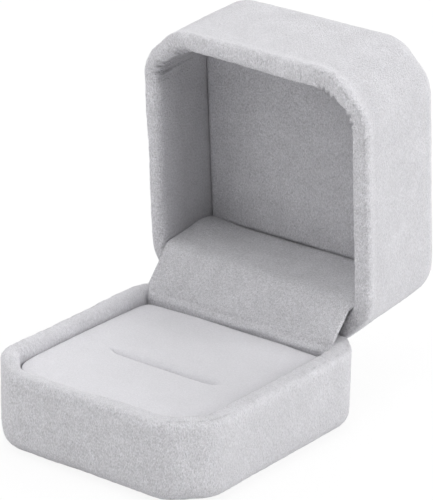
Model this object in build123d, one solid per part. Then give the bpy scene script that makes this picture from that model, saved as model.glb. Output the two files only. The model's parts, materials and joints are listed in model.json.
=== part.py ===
from build123d import *
import os
from math import atan, cos, degrees, radians, sin, sqrt, tan

# A velvet-covered clamshell ring box, standing open on its base.
# Millimetres. X runs along the hinge, -Y is the front, +Z is up.
# The origin is the centre of the base's underside.
# Lid pieces are drawn shut, on top of the base, and then swung open about the hinge axis.

# ---- overall sizes ----
base_width = 52.0
base_depth = 57.1
base_height = 16.6
base_corner_cut = 7.3
base_corner_radius = 7.7
base_bottom_round = 3.2

lid_width = 53.0
lid_depth = 57.3
lid_height = 25.0
lid_corner_cut = 7.6
lid_corner_radius = 8.7
lid_top_round = 4.6
lid_side_lean = 0.35

rim_round = 1.65
rim_gap = 0.3
corner_turn = 45.0
tangent_share = 0.95
least_corner_radius = 0.3
foot_thickness = 0.5
foot_inset = 3.6

# ---- layers of the walls ----
cloth = 0.9
plastic = 1.7
wall = cloth + plastic + cloth
turn_in_depth = 9.0
hem_width = 11.0
lid_top_plastic = 2.0
board = 1.2
fit_gap = 0.15
seat_low = 6.0
seat_below_rim = 2.6
lid_seat_length = 10.5

# ---- slotted pad ----
pad_top = 14.9
pad_crown = 0.4
pad_edge_round = 0.5
pad_rear = 19.0
pad_corner_round = 2.0
pad_board = 1.0
slit_y = -4.0
slit_length = 24.0
slit_width = 1.2
slit_floor = 5.6
slit_lip_round = 0.5
slit_end_share = 0.49
pad_cloth = 0.8

# ---- lid lining ----
lid_mouth_depth = 15.0
panel_gap = 0.35
foam_inset = 1.0
flap_y_at_rim = 17.6
flap_y_at_ceiling = 18.4
flap_cloth = 0.8
flap_half_width = 22.3
flap_slope = 53.0
flap_fold_z = 16.1
flap_tuck = 7.0
flap_bend_radius = 3.0
flap_fold_radius = 4.0
flap_board_rise = 3.0
flap_board_inset = 0.9

# ---- hinge ----
open_angle = 85.0
hinge_y = 25.55
hinge_drop = 0.25
knuckle_radius = 1.1
knuckle_room = 0.15
pin_radius = 0.55
pin_clearance = 0.05
pin_overhang = 0.3
hinge_length = 20.0
lid_knuckle_length = 9.6
knuckle_gap = 0.2
barrel_room = 0.45
leaf_length = 8.4
leaf_width = 18.0
leaf_lip = 1.1
leaf_lip_thickness = 0.5
leaf_lip_margin = 1.0
boss_width = 21.0
rivet_spacing = 12.0
rivet_from_hinge = 5.2
rivet_radius = 0.8
rivet_head_radius = 1.35
rivet_head_height = 0.55
rivet_head_round = 0.38
rivet_depth = 2.2
rivet_clearance = 0.03
rivet_end_gap = 0.1
spring_width = 11.0
spring_thickness = 0.3
spring_from_leaf = 0.45
spring_from_lip = 0.1
spring_rise = 7.0
spring_rise_angle = 97.0
spring_bow_radius = 4.0
spring_bow_turn = 111.0
spring_tail = 4.6

# ---- worked out from the sizes above ----
rim_z = foot_thickness + base_height
base_rim = rim_z - rim_gap / 2
lid_rim = rim_z + rim_gap / 2
lid_top = rim_z + lid_height
shell_bottom = foot_thickness + cloth
shell_floor = shell_bottom + plastic
shell_ceiling = lid_top - cloth - lid_top_plastic
pad_board_top = shell_floor + pad_board
hinge_z = rim_z - hinge_drop
base_rivet_z = hinge_z - rivet_from_hinge
lid_rivet_z = hinge_z + rivet_from_hinge
barrel_length = hinge_length + 2 * barrel_room
side_knuckle_length = (hinge_length - lid_knuckle_length) / 2 - knuckle_gap
side_knuckle_x = (hinge_length - side_knuckle_length) / 2
bevel_angle = open_angle / 2
lid_taper = degrees(atan(lid_side_lean / lid_height))
hinge_axis = Axis((0, hinge_y, hinge_z), (1, 0, 0))
base_inner_back = base_depth / 2 - wall
lid_inner_back = lid_depth / 2 - wall - fit_gap
leaf_face = hinge_y - knuckle_radius
ceiling_z = rim_z + lid_mouth_depth
spare = 1.0
reach = 200.0


def outline(width, depth, cut, radius, inset=0.0):
    """A rectangle with its corners cut at 45 degrees and rounded, drawn in by inset."""
    half_x = width / 2 - inset
    half_y = depth / 2 - inset
    leg = cut - inset * (2 - sqrt(2))
    corners = [
        (half_x, -half_y + leg), (half_x, half_y - leg),
        (half_x - leg, half_y), (-half_x + leg, half_y),
        (-half_x, half_y - leg), (-half_x, -half_y + leg),
        (-half_x + leg, -half_y), (half_x - leg, -half_y),
    ]
    sharp = make_face(Polyline(*corners, close=True))
    longest_tangent = leg * sqrt(2) / 2 * tangent_share
    largest_radius = longest_tangent / tan(radians(corner_turn / 2))
    round_radius = max(min(radius - inset, largest_radius), least_corner_radius)
    return fillet(sharp.vertices(), round_radius)


def base_outline(inset=0.0):
    return outline(base_width, base_depth, base_corner_cut, base_corner_radius, inset)


def lid_outline(inset=0.0):
    return outline(lid_width, lid_depth, lid_corner_cut, lid_corner_radius, inset)


def prism(face, low, high, taper=0.0):
    return extrude(Pos(0, 0, low) * face, amount=high - low, taper=taper)


def block(x0, x1, y0, y1, z0, z1):
    middle = Pos((x0 + x1) / 2, (y0 + y1) / 2, (z0 + z1) / 2)
    return middle * Box(x1 - x0, y1 - y0, z1 - z0)


def bar(radius, length, centre_x=0.0):
    """A round bar along the hinge axis."""
    return Pos(centre_x, hinge_y, hinge_z) * Rot(0, 90, 0) * Cylinder(radius, length)


def edges_at(solid, z):
    return solid.edges().group_by(Axis.Z)[0 if z == "low" else -1]


def behind_bevel(side, depth):
    """The wedge behind the hinge that has to be empty for the lid to swing back.

    side is -1 for the base, whose wedge lies above its bevel, and 1 for the lid.
    depth is how far under the finished face the cut lies.
    """
    slab = Pos(0, 0, reach / 2 - depth) * Box(reach, reach, reach)
    tilted = Rot(-bevel_angle, 0, 0) * slab
    wedge = Pos(0, hinge_y, hinge_z) * tilted
    if side < 0:
        return wedge
    return wedge.mirror(Plane.XY.offset(hinge_z))


def spread_pair(piece, spacing):
    return Pos(-spacing / 2, 0, 0) * piece + Pos(spacing / 2, 0, 0) * piece


def swing_open(solid):
    return solid.rotate(hinge_axis, -open_angle)


# ---- base: moulded shell and its cloth ----

def base_body(inset, low, high, edge_round, floor, cavity_inset):
    """A cup of the base's shape, with rounded bottom and rim edges."""
    solid = prism(base_outline(inset), low, high)
    solid = fillet(edges_at(solid, "low"), base_bottom_round - inset)
    solid -= prism(base_outline(cavity_inset), floor, high)
    return fillet(edges_at(solid, "high"), edge_round)


def base_hinge_seat():
    """The thickened part of the back wall that the hinge leaf is riveted to."""
    return block(-boss_width / 2, boss_width / 2, base_inner_back,
                 base_inner_back + cloth + plastic / 2, seat_low, base_rim - seat_below_rim)


def rivet_holes(y, z):
    hole = Pos(0, y + rivet_depth / 2, z) * Rot(90, 0, 0)
    return spread_pair(hole * Cylinder(rivet_radius + rivet_clearance, rivet_depth), rivet_spacing)


def make_base_shell():
    shell = base_body(cloth, shell_bottom, base_rim - cloth, rim_round - cloth,
                      shell_floor, cloth + plastic)
    shell -= behind_bevel(-1, rim_gap / 2 + cloth)
    shell += base_hinge_seat()
    shell -= bar(knuckle_radius + barrel_room, barrel_length)
    return shell - rivet_holes(base_inner_back, base_rivet_z)


def make_base_cover():
    cover = base_body(0.0, foot_thickness, base_rim, rim_round, shell_floor, wall)
    cover -= behind_bevel(-1, rim_gap / 2)
    core = prism(base_outline(cloth), shell_bottom, base_rim - cloth)
    core = fillet(edges_at(core, "low"), base_bottom_round - cloth)
    core -= prism(base_outline(cloth + plastic), shell_floor, base_rim)
    core = fillet(edges_at(core, "high"), rim_round - cloth)
    core -= behind_bevel(-1, rim_gap / 2 + cloth)
    cover -= core
    cover -= prism(base_outline(cloth + plastic), shell_bottom, base_rim - turn_in_depth)
    cover -= prism(base_outline(hem_width), 0, shell_bottom)
    cover -= base_hinge_seat()
    return cover - bar(knuckle_radius + barrel_room, barrel_length)


def make_bottom_patch():
    return prism(base_outline(foot_inset), 0, foot_thickness)


# ---- slotted pad ----

def pad_blank(inset, low, top, corner_round=0.0):
    """A crowned block that fills the base from the front wall to the hinge space."""
    solid = prism(base_outline(wall + fit_gap + inset), low, top + spare)
    solid -= block(-reach, reach, pad_rear - inset, reach, -spare, reach)
    if corner_round > 0:
        rear_face = solid.faces().sort_by(Axis.Y)[-1]
        solid = fillet(rear_face.edges().filter_by(Axis.Z), corner_round)
    half_span = base_depth / 2 - wall
    crown_radius = half_span ** 2 / (2 * pad_crown)
    middle_y = (pad_rear - half_span) / 2
    dome = Pos(0, middle_y, top - crown_radius) * Rot(90, 0, 0) * Sphere(crown_radius)
    return solid & dome


def soften_top(solid, top, radius):
    """Round the upper edges of a crowned block."""
    rim = [edge for edge in solid.edges() if (edge @ 0.5).Z > top - 2 * pad_crown - spare]
    return fillet(rim, radius)


def slit_pocket(margin, low):
    """The slot across the pad, widened by margin all round."""
    width = slit_width + 2 * margin
    length = slit_length + 2 * margin
    pocket = Pos(0, slit_y, 0) * RectangleRounded(length, width, width * slit_end_share)
    return prism(pocket, low, pad_top + spare)


def make_pad_board():
    face = base_outline(wall + fit_gap)
    solid = prism(face, shell_floor, pad_board_top)
    return solid - block(-reach, reach, pad_rear, reach, 0, reach)


def pad_foam():
    return pad_blank(pad_cloth, pad_board_top, pad_top - pad_cloth)


def make_pad_foam_front():
    foam_gap = slit_width / 2 + pad_cloth
    return pad_foam() - block(-reach, reach, slit_y - foam_gap, reach, 0, reach)


def make_pad_foam_rear():
    foam_gap = slit_width / 2 + pad_cloth
    return pad_foam() - block(-reach, reach, -reach, slit_y + foam_gap, 0, reach)


def make_pad_cover():
    """The pad's cloth: over the foam, down its sides and tucked into the slit."""
    blank = pad_blank(0.0, pad_board_top, pad_top, pad_corner_round)
    cover = soften_top(blank, pad_top, pad_edge_round)
    lined_slot = slit_pocket(pad_cloth, slit_floor - pad_cloth) & cover
    cover = cover - pad_foam() + lined_slot
    cover -= slit_pocket(0.0, slit_floor)
    lips = [edge for edge in cover.edges()
            if (edge @ 0.5).Z > pad_top - slit_lip_round
            and abs((edge @ 0.5).Y - slit_y) < slit_width
            and abs((edge @ 0.5).X) < slit_length / 2 + fit_gap]
    return fillet(lips, slit_lip_round)


# ---- lid: moulded shell and its cloth ----

def lid_body(inset, low, high, edge_round, ceiling, cavity_inset):
    """An upturned cup of the lid's shape, drawn shut, its sides leaning in a little."""
    solid = prism(lid_outline(inset), low, high, lid_taper)
    solid = fillet(edges_at(solid, "high"), lid_top_round - inset)
    solid -= prism(lid_outline(cavity_inset), low, ceiling, lid_taper)
    return fillet(edges_at(solid, "low"), edge_round)


def lid_hinge_seat():
    return block(-boss_width / 2, boss_width / 2, lid_inner_back,
                 lid_inner_back + cloth + plastic / 2,
                 lid_rim + seat_below_rim, hinge_z + lid_seat_length)


def make_lid_shell():
    shell = lid_body(cloth, lid_rim + cloth, lid_top - cloth, rim_round - cloth,
                     shell_ceiling, cloth + plastic)
    shell -= behind_bevel(1, rim_gap / 2 + cloth)
    shell += lid_hinge_seat()
    shell -= bar(knuckle_radius + barrel_room, barrel_length)
    return shell - rivet_holes(lid_inner_back, lid_rivet_z)


def make_lid_cover():
    cover = lid_body(0.0, lid_rim, lid_top, rim_round, shell_ceiling, wall)
    cover -= behind_bevel(1, rim_gap / 2)
    core = lid_body(cloth, lid_rim + cloth, lid_top - cloth, rim_round - cloth,
                    shell_ceiling, cloth + plastic)
    core -= behind_bevel(1, rim_gap / 2 + cloth)
    cover -= core
    cover -= prism(lid_outline(cloth + plastic), ceiling_z + cloth + board, lid_top - cloth)
    cover -= lid_hinge_seat()
    return cover - bar(knuckle_radius + barrel_room, barrel_length)


def ceiling_panel(low, high, inset):
    """A flat panel across the lid, from its front wall to the hinge flap."""
    solid = prism(lid_outline(wall + panel_gap + inset), low, high)
    return solid - block(-reach, reach, flap_y_at_ceiling - fit_gap - inset, reach, 0, reach)


def make_ceiling_board():
    return ceiling_panel(ceiling_z + cloth, ceiling_z + cloth + board, cloth)


def make_ceiling_cloth():
    cloth_panel = ceiling_panel(ceiling_z, ceiling_z + cloth + board, 0.0)
    return cloth_panel - make_ceiling_board()


def make_ceiling_foam():
    foam_low = ceiling_z + cloth + board
    return ceiling_panel(foam_low, shell_ceiling - fit_gap, foam_inset)


# ---- flap over the hinge ----

def opened(y, z):
    """Where a point of the shut lid lies, in the YZ plane, once the lid is open."""
    angle = radians(open_angle)
    back = y - hinge_y
    rise = z - hinge_z
    return (hinge_y + back * cos(angle) + rise * sin(angle),
            hinge_z - back * sin(angle) + rise * cos(angle))


def flap_path():
    """The flap's middle line at the open pose, in the YZ plane: forward along the lid's lower
    wall, down a straight slope to the pad's rear edge and on into the gap behind the pad."""
    far_end = Vector(*opened(flap_y_at_ceiling + flap_cloth / 2, ceiling_z + cloth))
    near_end = Vector(*opened(flap_y_at_rim + flap_cloth / 2, rim_z))
    lid_line = Line(far_end, near_end * 2 - far_end)
    fold = Vector(pad_rear + fit_gap + flap_cloth / 2, flap_fold_z)
    uphill = Vector(cos(radians(flap_slope)), sin(radians(flap_slope)))
    bend = IntersectingLine(fold, uphill, lid_line) @ 1
    foot = fold - Vector(0, flap_tuck)
    return FilletPolyline(far_end, bend, fold, foot, radius=[flap_bend_radius, flap_fold_radius])


def make_hinge_flap():
    strip = trace(flap_path(), line_width=flap_cloth)
    flap = extrude(Plane.YZ * strip, amount=flap_half_width, both=True)
    below_rim = prism(base_outline(wall + fit_gap), 0, base_rim + fit_gap)
    low_block = block(-reach, reach, -reach, reach, 0, base_rim + fit_gap)
    return (flap & below_rim) + (flap - low_block)


def make_flap_board():
    """The stiff strip behind the flap, across the lid, drawn shut."""
    low_z = lid_rim + flap_board_rise
    high_z = ceiling_z + cloth + board
    lean = (flap_y_at_ceiling - flap_y_at_rim) / lid_mouth_depth
    low_y = flap_y_at_rim + lean * (low_z - rim_z) + flap_cloth
    high_y = flap_y_at_rim + lean * (high_z - rim_z) + flap_cloth
    side = Polyline((low_y, low_z), (low_y + board, low_z),
                    (high_y + board, high_z), (high_y, high_z), close=True)
    strip = extrude(Plane.YZ * make_face(side), amount=lid_width / 2, both=True)
    return strip & prism(lid_outline(wall + flap_board_inset), rim_z, lid_top)


# ---- spring hinge ----

def leaf(up, back_face, own_knuckles, other_knuckles):
    """A riveted plate with its knuckles and the lip that holds an end of the spring.

    up is -1 for the base's leaf and 1 for the lid's. A knuckle is a length and a centre's X.
    """
    far = hinge_z + up * leaf_length
    low, high = sorted((hinge_z, far))
    plate = block(-leaf_width / 2, leaf_width / 2, leaf_face, back_face, low, high)
    lip_low, lip_high = sorted((far, far - up * leaf_lip_thickness))
    lip_half = spring_width / 2 + leaf_lip_margin
    plate += block(-lip_half, lip_half, leaf_face - leaf_lip, leaf_face, lip_low, lip_high)
    for length, centre_x in own_knuckles:
        plate += bar(knuckle_radius, length, centre_x)
    room = knuckle_radius + knuckle_room
    for length, centre_x in other_knuckles:
        half = length / 2 + knuckle_gap
        plate -= block(centre_x - half, centre_x + half,
                       hinge_y - room, hinge_y + room, hinge_z - room, hinge_z + room)
    plate -= bar(pin_radius + pin_clearance, hinge_length + 2 * spare)
    return plate - rivet_holes(leaf_face - rivet_end_gap, hinge_z + up * rivet_from_hinge)


def make_base_leaf():
    own = [(side_knuckle_length, side * side_knuckle_x) for side in (-1, 1)]
    return leaf(-1, base_inner_back, own, [(lid_knuckle_length, 0.0)])


def make_lid_leaf():
    length = side_knuckle_length + spare
    others = [(length, side * (side_knuckle_x + spare / 2)) for side in (-1, 1)]
    return leaf(1, lid_inner_back, [(lid_knuckle_length, 0.0)], others)


def make_hinge_pin():
    return bar(pin_radius, hinge_length + 2 * pin_overhang)


def rivet(back_face):
    """A round-headed rivet along Y, its head against the leaf."""
    depth = back_face + rivet_depth - leaf_face - rivet_end_gap
    shank = Pos(0, leaf_face + depth / 2, 0) * Rot(90, 0, 0) * Cylinder(rivet_radius, depth)
    head = Pos(0, leaf_face - rivet_head_height / 2, 0) * Rot(90, 0, 0)
    head = head * Cylinder(rivet_head_radius, rivet_head_height)
    head = fillet(head.edges().group_by(Axis.Y)[0], rivet_head_round)
    return head + shank


def make_base_rivets():
    return spread_pair(Pos(0, 0, base_rivet_z) * rivet(base_inner_back), rivet_spacing)


def make_lid_rivets():
    return spread_pair(Pos(0, 0, lid_rivet_z) * rivet(lid_inner_back), rivet_spacing)


def make_hinge_spring():
    """The bowed steel strip that snaps the lid open or shut, at the open pose."""
    lip_face = hinge_z - leaf_length + leaf_lip_thickness
    start = (leaf_face - spring_from_leaf, lip_face + spring_from_lip)
    rise = PolarLine(start, spring_rise, spring_rise_angle)
    bow = JernArc(rise @ 1, rise % 1, spring_bow_radius, -spring_bow_turn)
    tail = Line(bow @ 1, bow @ 1 + (bow % 1) * spring_tail)
    strip = trace([rise, bow, tail], line_width=spring_thickness)
    return extrude(Plane.YZ * strip, amount=spring_width / 2, both=True)


pieces = {
    "base_shell": make_base_shell(),
    "base_cover": make_base_cover(),
    "bottom_patch": make_bottom_patch(),
    "pad_board": make_pad_board(),
    "pad_foam_front": make_pad_foam_front(),
    "pad_foam_rear": make_pad_foam_rear(),
    "pad_cover": make_pad_cover(),
    "hinge_base_leaf": make_base_leaf(),
    "hinge_base_rivets": make_base_rivets(),
    "hinge_pin": make_hinge_pin(),
    "hinge_spring": make_hinge_spring(),
    "hinge_flap": make_hinge_flap(),
    "lid_shell": swing_open(make_lid_shell()),
    "lid_cover": swing_open(make_lid_cover()),
    "ceiling_board": swing_open(make_ceiling_board()),
    "ceiling_cloth": swing_open(make_ceiling_cloth()),
    "ceiling_foam": swing_open(make_ceiling_foam()),
    "flap_board": swing_open(make_flap_board()),
    "hinge_lid_leaf": swing_open(make_lid_leaf()),
    "hinge_lid_rivets": swing_open(make_lid_rivets()),
}

os.makedirs("parts", exist_ok=True)
for name, piece in pieces.items():
    export_step(piece, f"parts/{name}.step")
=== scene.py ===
"""A velvet ring box standing open: a low base with a slotted pad, a deeper lid, and a velvet
flap over the hinge between them.

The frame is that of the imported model: +X along the hinge, -Y the front, +Z up, and the origin
under the middle of the base. Lengths here are millimetres, and make_mesh turns them into metres.
Lid pieces are drawn shut, on top of the base, and then swung open about the hinge.
"""
import json
import math

import bpy
import numpy as np
from mathutils import Matrix, Vector


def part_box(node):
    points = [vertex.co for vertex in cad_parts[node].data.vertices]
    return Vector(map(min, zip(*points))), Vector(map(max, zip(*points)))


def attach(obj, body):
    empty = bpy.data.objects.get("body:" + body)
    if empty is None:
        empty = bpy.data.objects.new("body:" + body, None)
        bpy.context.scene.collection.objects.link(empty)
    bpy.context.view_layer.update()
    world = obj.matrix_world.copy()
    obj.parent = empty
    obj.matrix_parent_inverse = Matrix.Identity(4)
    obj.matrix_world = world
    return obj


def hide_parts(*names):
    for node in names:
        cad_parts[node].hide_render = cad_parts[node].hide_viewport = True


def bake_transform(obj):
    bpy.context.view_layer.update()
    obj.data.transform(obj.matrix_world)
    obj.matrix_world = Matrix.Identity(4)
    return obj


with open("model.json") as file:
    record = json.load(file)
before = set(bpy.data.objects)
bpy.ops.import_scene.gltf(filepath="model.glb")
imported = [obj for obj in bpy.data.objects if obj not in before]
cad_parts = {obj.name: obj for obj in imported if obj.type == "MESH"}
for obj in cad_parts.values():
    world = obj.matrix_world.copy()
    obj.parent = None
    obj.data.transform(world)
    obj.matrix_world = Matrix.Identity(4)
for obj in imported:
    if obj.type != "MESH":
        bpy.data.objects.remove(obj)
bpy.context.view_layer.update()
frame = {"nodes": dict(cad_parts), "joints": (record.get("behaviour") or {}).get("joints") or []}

MM = 0.001


def box_mm(node):
    low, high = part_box(node)
    return np.array(low) / MM, np.array(high) / MM


# ---- sizes that the frame gives ----
hinge_joint = frame["joints"][0]
HINGE = np.array(hinge_joint["pos_m"]) / MM
OPEN_ANGLE = math.radians(hinge_joint["range_deg"][1])
base_low, base_high = box_mm("base_cover")
_, patch_high = box_mm("bottom_patch")
BASE_WIDTH = base_high[0] - base_low[0]
BASE_DEPTH = base_high[1] - base_low[1]
BASE_FOOT = patch_high[2]
BASE_RIM = base_high[2]

# ---- sizes that the source holds too ----
RIM_GAP = 0.3
RIM_PLANE = BASE_RIM + RIM_GAP / 2
LID_RIM = BASE_RIM + RIM_GAP
BASE_CUT = 7.3
BASE_CORNER_RADIUS = 7.7
BASE_BOTTOM_ROUND = 3.2
LID_WIDTH = 53.0
LID_DEPTH = 57.3
LID_HEIGHT = 25.0
LID_CUT = 7.6
LID_CORNER_RADIUS = 8.7
LID_TOP_ROUND = 4.6
LID_LEAN = 0.35
CLOTH = 0.9
PLASTIC = 1.7
WALL = CLOTH + PLASTIC + CLOTH
RIM_ROUND = 1.65
TURN_IN = 9.0
HEM = 11.0
LID_MOUTH = 15.0
CEILING_Z = RIM_PLANE + LID_MOUTH
BOARD = 1.2
FIT = 0.15
PANEL_GAP = 0.35
PAD_TOP = 14.9
PAD_CROWN = 0.4
PAD_EDGE = 0.5
PAD_REAR = 19.0
PAD_LOW = 4.1
SLIT_Y = -4.0
SLIT_LENGTH = 24.0
FLAP_Y_AT_RIM = 17.6
FLAP_Y_AT_CEILING = 18.4
FLAP_CLOTH = 0.8
FLAP_SLOPE = 53.0
FLAP_FOLD_Z = 16.1
FLAP_TUCK = 7.0
FLAP_BEND_RADIUS = 3.0
FLAP_FOLD_RADIUS = 4.0
KNUCKLE_RADIUS = 1.1
BARREL_ROOM = 0.45
HINGE_LENGTH = 20.0
BARREL_HALF = HINGE_LENGTH / 2 + BARREL_ROOM
LEAF_LENGTH = 8.4
LEAF_LIP_THICKNESS = 0.5
SPRING_WIDTH = 11.0
SPRING_THICKNESS = 0.3
SPRING_FROM_LEAF = 0.45
SPRING_FROM_LIP = 0.1
SPRING_RISE = 7.0
SPRING_RISE_ANGLE = 97.0
SPRING_BOW_RADIUS = 4.0
SPRING_BOW_TURN = 111.0
SPRING_TAIL = 4.6

# ---- sizes of the cloth that only this scene holds ----
OUTER_CORNER = 1.1
TIGHT_INNER_CORNER = 0.85
SOFT_INNER_CORNER = 1.75
LID_COVER_INSET = 7.0
BASE_TUCK = 0.08
LID_TUCK = 0.75
RIM_PILE = 0.10
WALL_PILE = 0.035
WRAP_SWELL = 0.09
INNER_SHADE_DEPTH = 5.0
SLIT_DEPTH = 8.0
SLIT_LIP = 1.8
SLIT_GAPE = 0.05
SLIT_DIP = 0.3
PANEL_EDGE = 0.55
PANEL_PUFF = 0.35
PANEL_SUNK = 0.25
PANEL_REAR_RADIUS = 0.7
PANEL_FRONT_RADIUS = 4.8
FLAP_HALF_IN_LID = 22.7
FLAP_HALF_OUTSIDE = 22.6
FLAP_HALF_IN_BASE = 22.1
FLAP_BEHIND_PAD_Y = 22.0
FLAP_HEM_Z = 15.45

# ---- mesh spacing ----
FINE = 0.42
CAP_ROWS = 30
PAD_COLUMNS = 105
PAD_NEAR_EDGE = [0.0, 0.03, 0.08, 0.16, 0.27, 0.4, 0.6, 0.9, 1.3]
PANEL_ROWS = 36
FLAP_COLUMNS = 112
SPRING_COLUMNS = 15


# ---- ramps and humps ----

def ramp(value, start, end):
    """0 where value is at start or before it, 1 at end or beyond it, and straight between."""
    return np.clip((value - start) / (end - start), 0, 1)


def hump(value, centre, width):
    return np.exp(-((value - centre) / width) ** 2)


# ---- repeatable noise ----

def lattice_value(cells, seed):
    """A repeatable value from -1 to 1 for each whole-numbered cell of a grid."""
    cells = cells.astype(np.int64).astype(np.uint64)
    mixed = cells[:, 0] * np.uint64(73856093) ^ cells[:, 1] * np.uint64(19349663)
    mixed = mixed ^ cells[:, 2] * np.uint64(83492791) ^ np.uint64(seed * 7919 + 1)
    mixed = (mixed ^ (mixed >> np.uint64(15))) * np.uint64(2246822519)
    mixed = (mixed ^ (mixed >> np.uint64(13))) * np.uint64(3266489917)
    return ((mixed >> np.uint64(8)) & np.uint64(0xFFFF)).astype(float) / 32767.5 - 1.0


def noise(points, cell, seed):
    """Smooth noise from about -1 to 1 whose bumps are cell millimetres across."""
    scaled = points / cell
    low = np.floor(scaled)
    part = scaled - low
    part = part * part * (3 - 2 * part)
    total = np.zeros(len(points))
    for corner in range(8):
        step = np.array([corner & 1, corner >> 1 & 1, corner >> 2 & 1])
        weight = np.prod(np.where(step == 1, part, 1 - part), axis=1)
        total += weight * lattice_value(low + step, seed)
    return total


def layered(points, cell, seed, octaves=3):
    """Noise with finer noise on top of it, each layer half as wide and half as strong."""
    return sum(noise(points, cell / 2 ** k, seed + k) / 2 ** k for k in range(octaves))


# ---- outlines and sections ----

def walk(start, heading, legs, spacing):
    """Points and left-hand normals of a path in a plane. Each leg is a length and the angle that
    it turns left on the way."""
    place, angle = np.array(start, float), heading
    points, normals = [place], [np.array([-math.sin(angle), math.cos(angle)])]
    for length, turn in legs:
        steps = max(1, round(length / spacing))
        half = turn / steps / 2
        chord = length / steps * (math.sin(half) / half if turn else 1.0)
        for _ in range(steps):
            angle += half
            place = place + np.array([math.cos(angle), math.sin(angle)]) * chord
            angle += half
            points.append(place)
            normals.append(np.array([-math.sin(angle), math.cos(angle)]))
    return np.array(points), np.array(normals)


def rounded_path(corners, radii, spacing):
    """Points and left-hand normals along a path with its inner corners rounded."""
    corners = np.array(corners, float)
    steps = np.diff(corners, axis=0)
    lengths = np.linalg.norm(steps, axis=1)
    headings = np.arctan2(steps[:, 1], steps[:, 0])
    turns = (np.diff(headings) + math.pi) % (2 * math.pi) - math.pi
    tangents = [0.0] + [r * math.tan(abs(t) / 2) for r, t in zip(radii, turns)] + [0.0]
    legs = []
    for i, length in enumerate(lengths):
        legs.append((length - tangents[i] - tangents[i + 1], 0.0))
        if i < len(turns):
            legs.append((radii[i] * abs(turns[i]), turns[i]))
    return walk(corners[0], headings[0], legs, spacing)


def inset_cut(cut, inset):
    """A corner's cut along each side, for an outline that lies inset inside the first one."""
    return cut - inset * (2 - math.sqrt(2))


def octagon(width, depth, cut, radius, spacing):
    """Points and outward normals of a rectangle with cut and rounded corners, anticlockwise from
    the middle of its rear edge."""
    half_x, half_y = width / 2, depth / 2
    corners = [
        (0, half_y), (-half_x + cut, half_y), (-half_x, half_y - cut), (-half_x, -half_y + cut),
        (-half_x + cut, -half_y), (half_x - cut, -half_y), (half_x, -half_y + cut),
        (half_x, half_y - cut), (half_x - cut, half_y), (0, half_y),
    ]
    points, left = rounded_path(corners, [radius] * 8, spacing)
    return points[:-1], -left[:-1]


def straight(a, b, spacing=None, steps=None):
    """Points from a up to but not including b."""
    a, b = np.array(a, float), np.array(b, float)
    steps = steps or max(1, round(np.linalg.norm(b - a) / spacing))
    return [a + (b - a) * k / steps for k in range(steps)]


def curved(centre, radii, start, end, spacing=None, steps=None):
    """Points on an ellipse's arc, from start up to but not including end, in degrees."""
    steps = steps or max(2, round(math.radians(abs(end - start)) * max(radii) / spacing))
    angles = [math.radians(start + (end - start) * k / steps) for k in range(steps)]
    return [np.array([centre[0] + radii[0] * math.cos(a), centre[1] + radii[1] * math.sin(a)])
            for a in angles]


# ---- hinge geometry ----

def swing(points, degrees):
    """Turn points about the hinge. Positive shuts the lid."""
    angle = math.radians(degrees)
    moved = points - HINGE
    y = moved[:, 1] * math.cos(angle) - moved[:, 2] * math.sin(angle)
    z = moved[:, 1] * math.sin(angle) + moved[:, 2] * math.cos(angle)
    return np.column_stack([moved[:, 0], y, z]) + HINGE


def swing_open(points):
    return swing(points, -math.degrees(OPEN_ANGLE))


def clear_of_hinge(points, side):
    """Move points of a shut cover out of the wedge and the barrel's notch behind the hinge.
    side is -1 for the base and 1 for the lid."""
    half = OPEN_ANGLE / 2
    normal = np.array([0.0, math.sin(half), -side * math.cos(half)])
    softness = 0.35
    untouched = -2.5
    beyond = (points - HINGE) @ normal + RIM_GAP / 2
    push = (beyond + np.sqrt(beyond ** 2 + softness ** 2)) / 2
    push = np.where(beyond > untouched, push, 0.0)
    points = points - np.outer(push, normal)
    offset = points[:, 1:] - HINGE[1:]
    distance = np.linalg.norm(offset, axis=1)
    notch_end = 0.3
    in_notch = ramp(np.abs(points[:, 0]), BARREL_HALF + notch_end, BARREL_HALF - notch_end)
    short = np.clip(KNUCKLE_RADIUS + BARREL_ROOM - distance, 0, None) * in_notch
    points[:, 1:] += offset / np.maximum(distance, 1e-6)[:, None] * short[:, None]
    return points


# ---- meshes ----

def make_mesh(name, points, faces, uv=None, values=None):
    """A smooth mesh object from points in millimetres. uv holds a pair for each face corner,
    in centimetres, and values holds named numbers for each point."""
    mesh = bpy.data.meshes.new(name)
    mesh.from_pydata([tuple(p) for p in np.asarray(points) * MM], [], faces)
    mesh.shade_smooth()
    if uv is not None:
        layer = mesh.uv_layers.new(name="length")
        layer.data.foreach_set("uv", np.asarray(uv, np.float32).ravel())
    for key, numbers in (values or {}).items():
        attribute = mesh.attributes.new(key, "FLOAT", "POINT")
        attribute.data.foreach_set("value", np.asarray(numbers, np.float32))
    thing = bpy.data.objects.new(name, mesh)
    bpy.context.scene.collection.objects.link(thing)
    return thing


def normals_of(points, faces):
    """Vertex normals, as numpy, of a mesh that isn't kept."""
    mesh = bpy.data.meshes.new("measure")
    mesh.from_pydata([tuple(p) for p in points], [], faces)
    found = np.zeros(len(points) * 3, np.float32)
    mesh.vertex_normals.foreach_get("vector", found)
    bpy.data.meshes.remove(mesh)
    return found.reshape(-1, 3).astype(float)


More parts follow.
